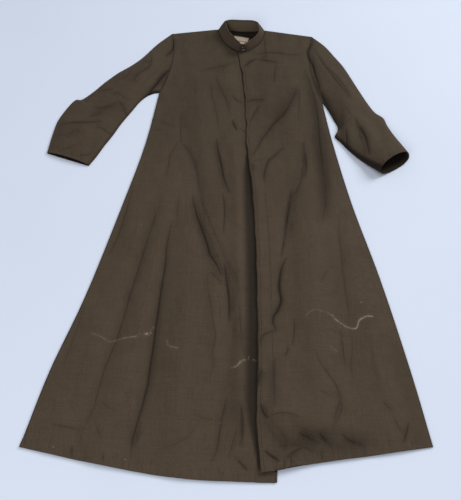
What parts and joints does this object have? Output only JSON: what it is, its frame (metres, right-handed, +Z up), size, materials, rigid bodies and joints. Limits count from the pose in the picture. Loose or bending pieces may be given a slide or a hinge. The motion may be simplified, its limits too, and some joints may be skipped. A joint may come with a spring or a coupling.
{
  "type": "cassock",
  "caption": "Plain full-length cassock laid flat on its back, with a standing band collar, lapped front and long sleeves out to the sides.",
  "frame": {"origin": "centre of the laid-out garment's box, on the surface that it lies on", "axes": "+Y from hem to head, +X towards the wearer's left sleeve, +Z up, away from the surface"},
  "size_m": [0.9926, 1.3846, 0.047],
  "materials": {
    "cloth": "dark olive-brown plain-weave suiting, slightly faded, matte with a faint sheen",
    "collar_cloth": "the same cloth over a stiff interlining, darker and less worn",
    "button": "polished near-black moulded button",
    "label": "off-white woven ribbon, blank"
  },
  "bodies": {
    "root": {"back": "cloth", "front_right": "cloth", "front_left": "cloth", "sleeve_right": "cloth", "sleeve_left": "cloth", "collar": "collar_cloth", "collar_button": "button", "neck_label": "label", "size_tab": "label"}
  },
  "joints": []
}
